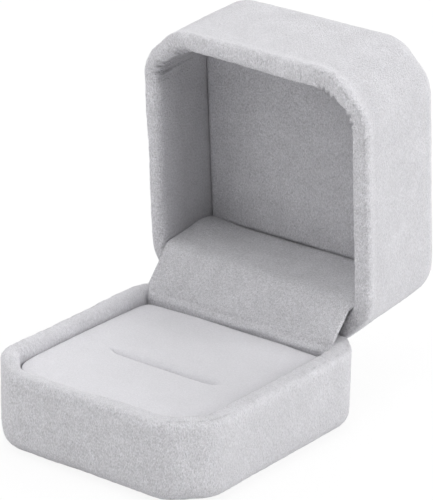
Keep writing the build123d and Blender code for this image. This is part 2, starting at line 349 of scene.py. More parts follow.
def loft(rings, wrap_rows, reverse, cap_first=None, cap_last=None):
    """Points, faces and uv pairs, in centimetres, of a stack of closed rings. With wrap_rows the
    last ring joins the first. cap_first and cap_last are the middle points of end caps."""
    mm_to_cm = 0.1
    rows, columns = rings.shape[:2]
    closed = np.concatenate([rings, rings[:, :1]], axis=1)
    run_u = np.zeros((rows, columns + 1))
    run_u[:, 1:] = np.cumsum(np.linalg.norm(np.diff(closed[rows // 3], axis=0), axis=1))
    run_v = np.zeros(rows + 1)
    stacked = np.concatenate([rings, rings[:1]], axis=0)
    run_v[1:] = np.cumsum(np.linalg.norm(np.diff(stacked[:, columns // 3], axis=0), axis=1))
    faces, uv = [], []
    for r in range(rows if wrap_rows else rows - 1):
        below, above = r * columns, (r + 1) % rows * columns
        for c in range(columns):
            d = (c + 1) % columns
            quad = [below + c, below + d, above + d, above + c]
            corners = [(run_u[0, c], run_v[r]), (run_u[0, c + 1], run_v[r]),
                       (run_u[0, c + 1], run_v[r + 1]), (run_u[0, c], run_v[r + 1])]
            if reverse:
                quad, corners = quad[::-1], corners[::-1]
            faces.append(quad)
            uv.extend(corners)
    points = rings.reshape(-1, 3)
    for row, end, flip in ((0, cap_first, not reverse), (rows - 1, cap_last, reverse)):
        if end is None:
            continue
        centre = len(points)
        points = np.vstack([points, [end]])
        for c in range(columns):
            tri = [row * columns + c, row * columns + (c + 1) % columns, centre]
            faces.append(tri[::-1] if flip else tri)
            uv.extend([(run_u[0, c], run_v[row])] * 3)
    return points, faces, np.array(uv) * mm_to_cm


def grid_faces(rows, columns):
    faces = []
    for r in range(rows - 1):
        for c in range(columns - 1):
            a = r * columns + c
            faces.append([a, a + 1, a + columns + 1, a + columns])
    return faces


def grid_border(rows, columns):
    """The row and column of each point on a grid's edge, in order around it."""
    border = [(0, c) for c in range(columns)] + [(r, columns - 1) for r in range(1, rows)]
    border += [(rows - 1, c) for c in range(columns - 2, -1, -1)]
    border += [(r, 0) for r in range(rows - 2, 0, -1)]
    return border


def thick_sheet(front, back, edge_bulge):
    """Points and faces of a sheet with two faces, each a grid of points, and a rounded edge."""
    rows, columns = front.shape[:2]
    count = rows * columns
    front_faces = grid_faces(rows, columns)
    faces = front_faces + [[count + k for k in quad[::-1]] for quad in front_faces]
    border = grid_border(rows, columns)
    middle = (front + back) / 2
    centre = middle[rows // 2, columns // 2]
    edge = []
    for r, c in border:
        inner_r = min(max(r, 1), rows - 2)
        inner_c = min(max(c, 1), columns - 2)
        outward = middle[r, c] - middle[inner_r, inner_c]
        length = np.linalg.norm(outward)
        if length < 1e-9:
            outward, length = middle[r, c] - centre, np.linalg.norm(middle[r, c] - centre)
        edge.append(middle[r, c] + outward / length * edge_bulge)
    first = 2 * count
    for k, (r, c) in enumerate(border):
        following = (k + 1) % len(border)
        r2, c2 = border[following]
        here, there = r * columns + c, r2 * columns + c2
        faces.append([here, first + k, first + following, there])
        faces.append([first + k, count + here, count + there, first + following])
    return np.vstack([front.reshape(-1, 3), back.reshape(-1, 3), edge]), faces


# ---- velvet wraps of the base and the lid ----

OUTSIDE, RIM, INNER_WALL, BENEATH = range(4)


def cover_section(height, far_round, closed_end, inner_corner, spacing):
    """The wrap's section as (inset, distance from the rim plane, kind). It runs over the far
    face, up the outside, over the rim and down the inside, and back beneath the cloth."""
    half_wall = WALL / 2
    rows = []

    def add(points, kind):
        rows.extend([(p[0], p[1], kind) for p in points])

    far_inset = LID_COVER_INSET if closed_end else HEM
    inside_end = LID_MOUTH + CLOTH + BOARD if closed_end else TURN_IN
    add(straight((far_inset, height), (far_round, height), spacing * 1.6), OUTSIDE)
    add(curved((far_round, height - far_round), (far_round, far_round), 90, 180, spacing), OUTSIDE)
    add(straight((0, height - far_round), (0, OUTER_CORNER), spacing), OUTSIDE)
    add(curved((OUTER_CORNER, OUTER_CORNER), (OUTER_CORNER, OUTER_CORNER), 180, 270,
               spacing * 0.8), RIM)
    add(straight((OUTER_CORNER, 0), (WALL - inner_corner, 0), steps=5), RIM)
    add(curved((WALL - inner_corner, inner_corner), (inner_corner, inner_corner), 270, 360,
               steps=7), RIM)
    add(straight((WALL, inner_corner), (WALL, inside_end),
                 steps=round(inside_end / spacing / 1.3)), INNER_WALL)
    under_wall, under_far = WALL - CLOTH, height - CLOTH
    add(straight((WALL, inside_end), (under_wall, inside_end), spacing=1), INNER_WALL)
    add(straight((under_wall, inside_end), (under_wall, RIM_ROUND), spacing=3), BENEATH)
    add(curved((half_wall, RIM_ROUND), (half_wall - CLOTH, RIM_ROUND - CLOTH), 360, 180,
               spacing=0.6), BENEATH)
    add(straight((CLOTH, RIM_ROUND), (CLOTH, height - far_round), spacing=3), BENEATH)
    add(curved((far_round, height - far_round), (far_round - CLOTH, far_round - CLOTH), 180, 90,
               spacing=0.8), BENEATH)
    add(straight((far_round, under_far), (far_inset, under_far), spacing=4), BENEATH)
    rows.append((far_inset, under_far, BENEATH))
    return rows


def softened_section(height, far_round, closed_end, softness):
    """The wrap's section with an inset and a distance for each point of the outline, a kind, and
    how far down the inner wall the row lies, from 0 to 1. softness is 0 where the rim's inner
    corner is tight and 1 where it is soft."""
    tight = cover_section(height, far_round, closed_end, TIGHT_INNER_CORNER, FINE)
    soft = cover_section(height, far_round, closed_end, SOFT_INNER_CORNER, FINE)
    rows = []
    for (tight_inset, tight_away, kind), (soft_inset, soft_away, _) in zip(tight, soft):
        inset = tight_inset + (soft_inset - tight_inset) * softness
        away = tight_away + (soft_away - tight_away) * softness
        # down sets the painted shade on the inner wall: the farther down, the darker its colour.
        down = ramp(tight_away, RIM_ROUND, RIM_ROUND + INNER_SHADE_DEPTH)
        rows.append((inset, away, kind, down if kind == INNER_WALL else 0.0))
    return rows


def corner_closeness(points, normals):
    """1 where the outline turns a front corner, falling to 0 on its straight stretches."""
    turn = np.linalg.norm(np.roll(normals, -1, axis=0) - np.roll(normals, 1, axis=0), axis=1)
    sharp = np.clip(turn / turn.max(), 0, 1) * (points[:, 1] < 0)
    for _ in range(8):
        sharp = (np.roll(sharp, 1) + sharp + np.roll(sharp, -1)) / 3
    return sharp


def tuck_depth(run, seed):
    """The cloth's little folds along the outline, from -1 to 1: a slow rise and a steep fall."""
    fold_length, rising = 2.3, 0.72
    along = np.column_stack([run, run * 0, run * 0])
    phase = run / fold_length + noise(along, 5.0, seed + 60) * 0.35
    part = phase - np.floor(phase)
    rise = np.where(part < rising, part / rising, (1 - part) / (1 - rising))
    return (rise ** 1.5 * 2 - 1) * (0.75 + 0.25 * noise(along, 3.0, seed + 61))


def rim_roll(points, side):
    """How much thicker the rim's roll is: on its right side, and on the lid's front."""
    x, y = points[:, 0], points[:, 1]
    on_right = ramp(x, 19.0, 23.0) * ramp(y, 25.5, 22.5) * ramp(y, -22.0, -10.0)
    right = on_right * (0.2 + 0.25 * ramp(y, 0.0, 20.0))
    if side < 0:
        return right
    return right + 0.65 * ramp(y, -24.0, -27.0)


def wrap_cover(name, side, width, depth, cut, radius, height, far_round, rim, lean, tuck, seed):
    """One of the two velvet wraps, drawn shut. side is -1 for the base, whose wrap is open below,
    and 1 for the lid, whose wrap goes across its top."""
    closed_end = side > 0
    outline_points, outline_normals = octagon(width, depth, cut, radius, FINE)
    steps = np.linalg.norm(np.diff(outline_points, axis=0), axis=1)
    run = np.concatenate([[0], np.cumsum(steps)])
    folds = corner_closeness(outline_points, outline_normals) * tuck_depth(run, seed) * tuck
    thicker = folds + rim_roll(outline_points, side)
    softness = ramp(outline_points[:, 0], 6.0, -6.0)    # tight on the right, soft on the left
    rings, kinds, downs = [], [], []
    for inset, away, kind, down in softened_section(height, far_round, closed_end, softness):
        drawn_in = inset + lean * away / height
        if kind in (RIM, INNER_WALL):
            fading = np.exp(-np.clip(away - 1.5, 0, None) / 4.5)
            drawn_in += thicker * ramp(inset / WALL, 0.5, 1.0) * fading
        flat = outline_points - outline_normals * drawn_in[:, None]
        rings.append(np.column_stack([flat, rim + side * away]))
        kinds.append(kind)
        downs.append(down)
    cap_first = cap_last = None
    if closed_end:
        cap_first = np.array([0, 0, rings[0][0, 2]])
        cap_last = np.array([0, 0, rings[-1][0, 2]])
        outer_rows = [cap_first + (rings[0] - cap_first) * k / CAP_ROWS for k in range(1, CAP_ROWS)]
        inner_rows = [cap_last + (rings[-1] - cap_last) * share for share in (0.75, 0.5, 0.25)]
        rings = outer_rows + rings + inner_rows
        kinds = [OUTSIDE] * len(outer_rows) + kinds + [BENEATH] * len(inner_rows)
        downs = [0.0] * len(outer_rows) + downs + [0.0] * len(inner_rows)
    rings, kinds = np.array(rings), np.array(kinds)
    points, faces, uv = loft(rings, not closed_end, side > 0, cap_first, cap_last)
    point_kinds = np.repeat(kinds, rings.shape[1])
    if closed_end:
        point_kinds = np.concatenate([point_kinds, [OUTSIDE, BENEATH]])
    points = clear_of_hinge(points, side)
    normals = normals_of(points, faces)
    pile = layered(points, 0.9, seed) * np.where(point_kinds == RIM, RIM_PILE, WALL_PILE)
    swell = layered(points, 9.0, seed + 20, 2) * WRAP_SWELL
    points = points + normals * ((pile + swell) * (point_kinds < BENEATH))[:, None]
    # inner_wall_painted_shade carries the painted shade down the inner wall.
    values = {"rim": pad_to(rim_share(kinds, rings), len(points)),
              "inner_wall_painted_shade": pad_to(np.repeat(downs, rings.shape[1]), len(points)),
              "parting": pad_to(parting(kinds, rings, run, seed), len(points))}
    if side > 0:
        points = swing_open(points)
    # Painted shade and light: the grain's contrast is painted stronger on faces turned to the front or
    # back.
    values["grain_painted_by_facing"] = 0.55 + 0.45 * np.abs(normals_of(points, faces)[:, 1])
    return make_mesh(name, points, faces, uv, values)


def rim_share(kinds, rings):
    """1 on the rim, falling to 0 over the rows on both sides of it: the pile is combed there, and the
    colour is painted lighter there as a highlight.
    """
    share = np.where(kinds == RIM, 1.0, 0.0)
    first_inside = np.where(kinds == INNER_WALL)[0][:5]
    share[first_inside] = np.linspace(0.9, 0.1, len(first_inside))
    last_outside = np.where(kinds == RIM)[0][0] - np.arange(1, 4)
    share[last_outside] = [0.7, 0.4, 0.15]
    return np.repeat(share, rings.shape[1])


def pad_to(numbers, count):
    """numbers with zeros after them, up to count."""
    return np.concatenate([numbers, np.zeros(count - len(numbers))])


def parting(kinds, rings, run, seed):
    """How far the pile parts along the rim's outer corner, from 0 to 1, in broken stretches."""
    rows_to_corner = 4
    crest = np.zeros(len(kinds))
    corner_row = np.where(kinds == RIM)[0][rows_to_corner]
    crest[corner_row] = 1.0
    crest[corner_row - 1] = crest[corner_row + 1] = 0.4
    along = np.column_stack([run, run * 0, run * 0])
    broken = np.clip(layered(along, 14.0, seed + 40, 2) * 1.6 + 0.45, 0, 1)
    dashes = np.clip(noise(along, 0.7, seed + 45) * 1.2 + 0.6, 0, 1)
    return np.outer(crest, broken * dashes).ravel()


# ---- slotted pad ----

def pad_edge_distance(x, y):
    """How far inside the pad's outline a point is, with its corners rounded."""
    inset = WALL + FIT
    half_x, half_y = BASE_WIDTH / 2 - inset, BASE_DEPTH / 2 - inset
    leg = inset_cut(BASE_CUT, inset)
    diagonal = (half_x + half_y - leg) / math.sqrt(2)
    slope = 1 / math.sqrt(2)
    softness = 0.8
    total = np.zeros_like(x)
    for (nx, ny), offset in (((-1, 0), half_x), ((1, 0), half_x), ((0, 1), half_y),
                             ((0, -1), PAD_REAR), ((slope, slope), diagonal),
                             ((-slope, slope), diagonal)):
        total += np.exp(-(nx * x + ny * y + offset) / softness)
    return -softness * np.log(total)


def pad_half_width(y):
    """Half the pad's width at y, found by halving."""
    low, high = 0.0, BASE_WIDTH / 2
    for _ in range(40):
        middle = (low + high) / 2
        if pad_edge_distance(np.array([middle]), np.array([y]))[0] > 0:
            low = middle
        else:
            high = middle
    return low


def pad_surface(x, y):
    """Height of the pad's cloth, apart from the slit."""
    half_span = BASE_DEPTH / 2 - WALL
    middle_y = (PAD_REAR - half_span) / 2
    crown = PAD_CROWN * (x ** 2 + (y - middle_y) ** 2) / half_span ** 2
    edge = np.clip(1 - pad_edge_distance(x, y) / PAD_EDGE, 0, 1)
    rolled = PAD_EDGE * (1 - np.sqrt(np.clip(1 - edge ** 2, 0, 1)))
    return PAD_TOP - crown - rolled


def slit_rows():
    """Rows from the slit's lip to its bottom: distance from its middle line where the pad stays
    flat, and distance and drop where the slit is open."""
    dips = []
    for degrees in (0, 15, 30, 45, 60, 75, 90):
        a = math.radians(degrees)
        dips.append((SLIT_GAPE + SLIT_LIP * (1 - math.sin(a)), SLIT_LIP * (1 - math.cos(a))))
    for share in (0.2, 0.35, 0.55, 0.8, 1.0):
        dips.append((SLIT_GAPE * (1 - 0.3 * share), share * SLIT_DEPTH))
    reach = SLIT_GAPE + SLIT_LIP
    return [(reach * (1 - k / len(dips)), away, drop) for k, (away, drop) in enumerate(dips)]


def slit_share(x, softness):
    """1 along the slit, falling smoothly to 0 around its ends."""
    share = ramp(np.abs(x), (SLIT_LENGTH + softness) / 2, (SLIT_LENGTH - softness) / 2)
    return share * share * (3 - 2 * share)


def pad_height(x, y):
    """Height of the pad's cloth, with the shallow dip about the slit."""
    return pad_surface(x, y) - SLIT_DIP * slit_share(x, 7.0) * hump(y, SLIT_Y, 2.6)


def pad_columns(y):
    """The x of each point in a row of the pad, closer together near the pad's edges."""
    half = pad_half_width(y)
    left = [-half + d for d in PAD_NEAR_EDGE]
    middle = np.linspace(-1, 1, PAD_COLUMNS)[1:-1] * (half - PAD_NEAR_EDGE[-1])
    return np.concatenate([left, middle, [-x for x in left[::-1]]])


def flat_row(y):
    x = pad_columns(y)
    y = np.full_like(x, y)
    return np.column_stack([x, y, pad_height(x, y)])


def slit_row(direction, flat, away, drop):
    """One of slit_rows as points. direction is -1 in front of the slit and 1 behind it."""
    x = pad_columns(SLIT_Y + direction * flat)
    gathered = np.clip(slit_share(x, 8.0) * 4, 0, 1)
    y = SLIT_Y + direction * (flat + (away - flat) * gathered)
    return np.column_stack([x, y, pad_height(x, y) - drop * slit_share(x, 3.0)])


def pad_grid():
    """The pad's top as a grid of points, from its front edge to its rear one."""
    edge_gap = 0.01
    front = -(BASE_DEPTH / 2 - WALL - FIT) + edge_gap
    rear = PAD_REAR - edge_gap
    reach = SLIT_GAPE + SLIT_LIP
    spaced = FINE * 1.1
    front_rows = [front + d for d in PAD_NEAR_EDGE]
    front_rows += list(np.arange(front_rows[-1] + spaced, SLIT_Y - reach - spaced / 2, spaced))
    rear_rows = [rear - d for d in PAD_NEAR_EDGE]
    rear_rows += list(np.arange(rear_rows[-1] - spaced, SLIT_Y + reach + spaced / 2, -spaced))
    slit = slit_rows()
    rows = [flat_row(y) for y in front_rows]
    rows += [slit_row(-1, *row) for row in slit]
    rows += [slit_row(1, *row) for row in slit[::-1]]
    rows += [flat_row(y) for y in rear_rows[::-1]]
    return np.array(rows)


def make_pad_cloth():
    """The velvet over the foam: crowned, rolled over at its edges, tucked into the slit, and
    closed by its sides and a flat underside."""
    grid = pad_grid()
    height, width = grid.shape[:2]
    points = grid.reshape(-1, 3)
    faces = grid_faces(height, width)
    loop = [r * width + c for r, c in grid_border(height, width)]
    border = points[loop]
    side_levels = (PAD_TOP - PAD_CROWN - PAD_EDGE - 0.8, 8.5, PAD_LOW)
    for level in side_levels:
        ring = [len(points) + k for k in range(len(border))]
        points = np.vstack([points, np.column_stack([border[:, :2], np.full(len(border), level)])])
        for k in range(len(border)):
            following = (k + 1) % len(border)
            faces.append([loop[k], ring[k], ring[following], loop[following]])
        loop = ring
    centre = len(points)
    points = np.vstack([points, [[0, 0, PAD_LOW]]])
    for k in range(len(border)):
        faces.append([loop[k], centre, loop[(k + 1) % len(border)]])
    normals = normals_of(points, faces)
    relief = layered(points, 1.1, 71) * 0.018 + layered(points, 11.0, 75, 2) * 0.09
    faces_up = normals[:, 2] > 0.3
    points = points + normals * (relief * faces_up)[:, None]
    return make_mesh("pad_cloth", points, faces)


# ---- lid lining ----

def make_ceiling_panel():
    """The padded velvet panel across the bottom of the lid's hollow."""
    inset = WALL + PANEL_GAP
    half_x, half_y = LID_WIDTH / 2 - inset, LID_DEPTH / 2 - inset
    leg = inset_cut(LID_CUT, inset)
    rear = FLAP_Y_AT_CEILING - FIT
    corners = [(0, rear), (-half_x, rear), (-half_x, -half_y + leg), (-half_x + leg, -half_y),
               (half_x - leg, -half_y), (half_x, -half_y + leg), (half_x, rear), (0, rear)]
    radii = [PANEL_REAR_RADIUS] + [PANEL_FRONT_RADIUS] * 4 + [PANEL_REAR_RADIUS]
    outline_points, left = rounded_path(corners, radii, FINE)
    outline_points, outline_normals = outline_points[:-1], -left[:-1]
    rings = [(outline_points, CLOTH + 0.9), (outline_points, CLOTH)]
    for degrees in (20, 40, 60, 80, 90):
        a = math.radians(degrees)
        rings.append((outline_points - outline_normals * PANEL_EDGE * (1 - math.cos(a)),
                      PANEL_EDGE * (1 - math.sin(a))))
    middle = np.array([0, (rear - half_y) / 2])
    last = outline_points - outline_normals * PANEL_EDGE
    for k in range(1, PANEL_ROWS):
        rings.append((middle + (last - middle) * (1 - k / PANEL_ROWS), 0.0))
    farthest = np.linalg.norm(last - middle, axis=1).max()
    stack = []
    for flat, drop in rings:
        radial = np.linalg.norm(flat - middle, axis=1) / farthest
        puff = PANEL_PUFF * (1 - np.clip(radial, 0, 1) ** 2) * (drop == 0.0)
        stack.append(np.column_stack([flat, CEILING_Z + drop - puff + PANEL_SUNK]))
    rings = np.array(stack)
    points, faces, _ = loft(rings, False, True, [0, middle[1], rings[0, 0, 2]],
                            [0, middle[1], rings[-1, 0, 2]])
    normals = normals_of(points, faces)
    points = points + normals * (layered(points, 0.9, 81) * 0.02)[:, None]
    return make_mesh("lid_ceiling_panel", swing_open(points), faces)


# ---- flap over the hinge ----

def opened_point(y, z):
    return swing_open(np.array([[0.0, y, z]]))[0, 1:]


def flap_path(spacing):
    """The flap's middle line at the open pose, in the YZ plane, from the lid's ceiling forward
    and down into the gap behind the pad, with its normals towards the front."""
    far_end = opened_point(FLAP_Y_AT_CEILING + FLAP_CLOTH / 2, CEILING_Z + CLOTH)
    near_end = opened_point(FLAP_Y_AT_RIM + FLAP_CLOTH / 2, RIM_PLANE)
    fold = np.array([PAD_REAR + FIT + FLAP_CLOTH / 2, FLAP_FOLD_Z])
    slope = math.radians(FLAP_SLOPE)
    uphill = np.array([math.cos(slope), math.sin(slope)])
    forward = (near_end - far_end) / np.linalg.norm(near_end - far_end)
    up_length, _ = np.linalg.solve(np.column_stack([uphill, -forward]), far_end - fold)
    bend = fold + uphill * up_length
    corners = [far_end, bend, fold, fold - np.array([0, FLAP_TUCK])]
    points, left = rounded_path(corners, [FLAP_BEND_RADIUS, FLAP_FOLD_RADIUS], spacing)
    return points, -left


def hem_shift(x, z):
    """The rolled hem above the pad, thicker to the right, and the faint crease over it."""
    along = np.column_stack([x, x * 0, x * 0])
    level = FLAP_HEM_Z + 0.22 * noise(along, 6.0, 97)
    to_right = ramp(x, -12.0, 12.0)
    roll = (0.22 + 0.3 * to_right + 0.12 * noise(along, 4.0, 98)) * hump(z, level, 0.62)
    crease = (-0.12 + 0.09 * noise(along, 5.0, 99)) * hump(z, level + 1.1, 0.3)
    return roll + crease


def flap_row(y, z):
    """At one place on the flap's path: x across the flap, and how far each point is pushed
    toward the front."""
    across = np.linspace(-1, 1, FLAP_COLUMNS)
    behind_pad = y < FLAP_BEHIND_PAD_Y
    on_lid = ramp(y, 24.5, 27.5)
    in_base = ramp(z, BASE_RIM + 0.4, BASE_RIM - 1.0) if behind_pad else 0.0
    half = FLAP_HALF_OUTSIDE + (FLAP_HALF_IN_LID - FLAP_HALF_OUTSIDE) * on_lid
    half += (FLAP_HALF_IN_BASE - FLAP_HALF_OUTSIDE) * in_base
    # Between the lid and the base, the left edge leans out and the right edge is drawn in.
    askew = 0.35 * ramp(y, 24.4, 20.0) * (1 - in_base)
    narrowed = 0.85 * ramp(y, 25.4, 24.6) * (1 - in_base)
    x = across * half - askew * np.clip(-across, 0, 1) ** 2 - narrowed * np.clip(across, 0, 1) ** 2
    corner_fold = 1.1 * hump(y, 36.5, 4.5) * (hump(x, -20.8, 4.3) + 0.6 * hump(x, 20.8, 4.3))
    curl = 0.3 * on_lid * np.abs(across) ** 5
    sag = -0.5 * hump(y, 25.6, 2.6) * ramp(x, 14.5, 22.5) ** 1.5
    swell = 0.25 * (1 - across ** 2) * hump(z, 20.5, 3.0)
    shift = corner_fold + curl + sag + swell
    if behind_pad:
        shift = shift + hem_shift(x, z)
    return x, shift


def make_flap():
    """The flap as a sheet with a free edge each side and a rolled hem above the pad."""
    front, back = [], []
    for (y, z), (ny, nz) in zip(*flap_path(FINE / 2)):
        x, shift = flap_row(y, z)
        for target, offset in ((front, FLAP_CLOTH / 2), (back, -FLAP_CLOTH / 2)):
            target.append(np.column_stack([x, y + ny * (offset + shift), z + nz * (offset + shift)]))
    points, faces = thick_sheet(np.array(front), np.array(back), FLAP_CLOTH * 0.3)
    faces = [face[::-1] for face in faces]
    normals = normals_of(points, faces)
    relief = layered(points, 1.0, 91) * 0.03 + layered(points, 7.0, 95, 2) * 0.11
    points = points + normals * relief[:, None]
    return make_mesh("hinge_flap_cloth", points, faces)


# ---- spring ----

def make_spring():
    """The bowed steel strip behind the flap."""
    start = (HINGE[1] - KNUCKLE_RADIUS - SPRING_FROM_LEAF,
             HINGE[2] - LEAF_LENGTH + (LEAF_LIP_THICKNESS + SPRING_FROM_LIP))
    turn = math.radians(SPRING_BOW_TURN)
    legs = [(SPRING_RISE, 0.0), (SPRING_BOW_RADIUS * turn, -turn), (SPRING_TAIL, 0.0)]
    path, normals = walk(start, math.radians(SPRING_RISE_ANGLE), legs, 0.35)
    across = np.linspace(-SPRING_WIDTH / 2, SPRING_WIDTH / 2, SPRING_COLUMNS)

    def side_grid(offset):
        return np.array([[(x, y, z) for x in across] for y, z in path + normals * offset])

    points, faces = thick_sheet(side_grid(SPRING_THICKNESS / 2), side_grid(-SPRING_THICKNESS / 2), 0.05)
    return make_mesh("snap_spring_strip", points, faces)


# ---- materials ----

class NodeTree:
    """The emptied node tree of a material or world, with short calls that add linked nodes."""

    def __init__(self, owner):
        owner.use_nodes = True
        self.nodes = owner.node_tree.nodes
        self.links = owner.node_tree.links
        self.nodes.clear()

    def put(self, node, key, value):
        """Link an output to an input, or give the input a constant."""
        if isinstance(value, bpy.types.NodeSocket):
            self.links.new(value, node.inputs[key])
        else:
            node.inputs[key].default_value = value

    def fill(self, node, inputs):
        for key, value in inputs.items():
            self.put(node, key, value)
        return node

    def add(self, kind, inputs=None):
        return self.fill(self.nodes.new(kind), inputs or {})

    def place(self):
        return self.add("ShaderNodeTexCoord").outputs["Object"]

    def attribute(self, name):
        node = self.nodes.new("ShaderNodeAttribute")
        node.attribute_name = name
        return node.outputs["Fac"]

    def stretch(self, vector, scale, rotation=(0.0, 0.0, 0.0)):
        inputs = {"Vector": vector, "Rotation": rotation, "Scale": scale}
        return self.add("ShaderNodeMapping", inputs).outputs[0]

    def noise(self, vector, scale, detail, roughness):
        inputs = {"Vector": vector, "Scale": scale, "Detail": detail, "Roughness": roughness}
        return self.add("ShaderNodeTexNoise", inputs).outputs["Fac"]

    def spread(self, value, low, high, to_low, to_high):
        """Map the range low to high of value onto to_low to to_high."""
        inputs = {"Value": value, "From Min": low, "From Max": high, "To Min": to_low, "To Max": to_high}
        return self.add("ShaderNodeMapRange", inputs).outputs["Result"]

    def about_one(self, noise, amount):
        """Noise spread from 1 - amount to 1 + amount."""
        return self.spread(noise, 0.3, 0.7, 1 - amount, 1 + amount)

    def calculate(self, operation, a, b):
        node = self.nodes.new("ShaderNodeMath")
        node.operation = operation
        return self.fill(node, {0: a, 1: b}).outputs[0]

    def times(self, a, b):
        return self.calculate("MULTIPLY", a, b)

    def tint(self, colour, factor):
        """colour times factor, as a colour."""
        node = self.nodes.new("ShaderNodeMix")
        node.data_type = "RGBA"
        node.blend_type = "MULTIPLY"
        return self.fill(node, {0: 1.0, 6: (*colour, 1), 7: factor}).outputs[2]

    def bump(self, height, strength, distance):
        inputs = {"Height": height, "Strength": strength, "Distance": distance}
        return self.add("ShaderNodeBump", inputs).outputs[0]

    def eye_rays(self):
        """1 for rays that go from the camera to what it sees, also by a mirror or through glass."""
        rays = self.add("ShaderNodeLightPath").outputs
        seen = self.calculate("MAXIMUM", rays["Is Camera Ray"], rays["Is Glossy Ray"])
        return self.calculate("MAXIMUM", seen, rays["Is Transmission Ray"])


def new_material(name):
    """A material with a Principled shader, its node tree and that shader."""
    material = bpy.data.materials.new(name)
    tree = NodeTree(material)
    shader = tree.add("ShaderNodeBsdfPrincipled")
    tree.add("ShaderNodeOutputMaterial", {"Surface": shader.outputs[0]})
    return material, tree, shader


def finish_shader(tree, shader, colour, roughness, normal):
    tree.put(shader, "Base Color", colour)
    tree.put(shader, "Roughness", roughness)
    tree.put(shader, "Normal", normal)


def comb_rim(tree, tufts, value, height):
    """Paint shade down the inner wall, paint the rim lighter as a highlight, comb the pile across it
    and part it along its outer corner. Gives back the value and the height."""
    # Painted shade: the colour darkens by up to a fifth down the inner wall.
    value = tree.times(value, tree.spread(tree.attribute("inner_wall_painted_shade"), 0, 1, 1.0, 0.8))
    on_rim = tree.attribute("rim")
    combed = tree.stretch(tree.add("ShaderNodeUVMap").outputs[0], (36.0, 6.0, 1.0))
    strokes = tree.times(tree.noise(combed, 1.0, 2.0, 0.6), on_rim)
    height = tree.calculate("ADD", height, tree.times(strokes, 2.0))
    # Painted highlight: the rim's colour is painted up to 14% lighter.
    value = tree.times(value, tree.spread(on_rim, 0, 1, 1.0, 1.14))
    line = tree.attribute("parting")
    value = tree.times(value, tree.spread(tree.times(line, tufts), 0.2, 0.6, 1.0, 0.75))
    height = tree.calculate("SUBTRACT", height, tree.times(line, 0.5))
    return value, height


def velvet(name, colour, mottle=0.05, grain=0.07, rim=False, bump=0.5, sheen=0.3):
    """Short-pile velvet: soft patches where the pile leans, fine grain, and sheen. rim is for a
    wrap, whose mesh holds the attributes of its rim and of its grain painted stronger by facing."""
    material, tree, shader = new_material(name)
    place = tree.place()
    patches = tree.noise(place, 210.0, 3.0, 0.6)
    tufts = tree.noise(place, 2300.0, 2.0, 0.7)
    leaning = tree.stretch(place, (1.0, 1.0, 0.4), (0.5, 0.45, 0.3))
    hairs = tree.noise(leaning, 5600.0, 2.0, 0.7)
    speckle = tree.times(tree.about_one(tufts, grain * 0.8), tree.about_one(hairs, grain * 1.4))
    # Painted shade and light: the grain is real, but painted stronger on faces turned to the front or
    # back, as grazing light shows it.
    if rim:
        speckle = tree.times(tree.calculate("SUBTRACT", speckle, 1.0), tree.attribute("grain_painted_by_facing"))
        speckle = tree.calculate("ADD", speckle, 1.0)
    value = tree.times(tree.about_one(patches, mottle), speckle)
    height = tree.calculate("ADD", tufts, tree.times(hairs, 1.2))
    if rim:
        value, height = comb_rim(tree, tufts, value, height)
    finish_shader(tree, shader, tree.tint(colour, value), tree.spread(tufts, 0.3, 0.7, 0.88, 1.0),
                  tree.bump(height, bump, 0.0004))
    tree.put(shader, "Sheen Weight", sheen)
    tree.put(shader, "Sheen Roughness", 0.5)
    tree.put(shader, "Sheen Tint", (1, 1, 1, 1))
    tree.put(shader, "Specular IOR Level", 0.15)
    return material


def plain_surface(name, colour, scale, vary, roughness, bump=0.1):
    """A material with speckled colour and roughness, for moulded plastic, card or foam."""
    material, tree, shader = new_material(name)
    place = tree.place()
    specks = tree.noise(place, scale, 4.0, 0.6)
    clouds = tree.noise(place, scale * 0.08, 2.0, 0.5)
    value = tree.times(tree.about_one(specks, vary), tree.about_one(clouds, vary / 2))
    rough = tree.spread(specks, 0.3, 0.7, roughness * 0.85, min(roughness * 1.15, 1.0))
    finish_shader(tree, shader, tree.tint(colour, value), rough, tree.bump(specks, bump, 0.0001))
    return material


def brushed_metal(name, colour, roughness):
    """Plated steel with fine drawn lines along X."""
    material, tree, shader = new_material(name)
    lines = tree.noise(tree.stretch(tree.place(), (0.06, 1.0, 1.0)), 6000.0, 3.0, 0.6)
    value = tree.spread(lines, 0.3, 0.7, 0.93, 1.05)
    rough = tree.spread(lines, 0.3, 0.7, roughness * 0.8, roughness * 1.2)
    finish_shader(tree, shader, tree.tint(colour, value), rough, tree.bump(lines, 0.12, 0.00005))
    tree.put(shader, "Metallic", 1.0)
    return material


def dress(thing, material):
    thing.data.materials.clear()
    thing.data.materials.append(material)
    return thing


OUTER_GREY = (0.700, 0.694, 0.725)
# Painted shade: the lining is the outer wrap's velvet, its grey painted darker for the shade inside the
# lid.
LINING_GREY_PAINTED_DARKER = (0.635, 0.630, 0.660)
# Painted light: the flap is the lining's velvet, its grey painted lighter for the light that falls on
# it.
FLAP_GREY_PAINTED_LIGHTER = (0.675, 0.670, 0.700)
PAD_GREY = (0.625, 0.619, 0.647)
outer_velvet = velvet("outer_velvet", OUTER_GREY, mottle=0.045, grain=0.17, rim=True, bump=0.9)
lining_velvet = velvet("lining_velvet", LINING_GREY_PAINTED_DARKER, mottle=0.055, grain=0.16, bump=0.9)
flap_velvet_painted_light = velvet("flap_velvet_painted_light", FLAP_GREY_PAINTED_LIGHTER, mottle=0.055, grain=0.16, bump=0.9)
pad_velvet = velvet("pad_velvet", PAD_GREY, mottle=0.02, grain=0.05, bump=0.4)
bottom_flock = velvet("bottom_flock", (0.46, 0.46, 0.48), mottle=0.03, grain=0.10, sheen=0.1)
shell_plastic = plain_surface("shell_plastic", (0.50, 0.50, 0.52), 900.0, 0.05, 0.55)
grey_board = plain_surface("grey_board", (0.42, 0.38, 0.32), 700.0, 0.12, 0.9, 0.3)
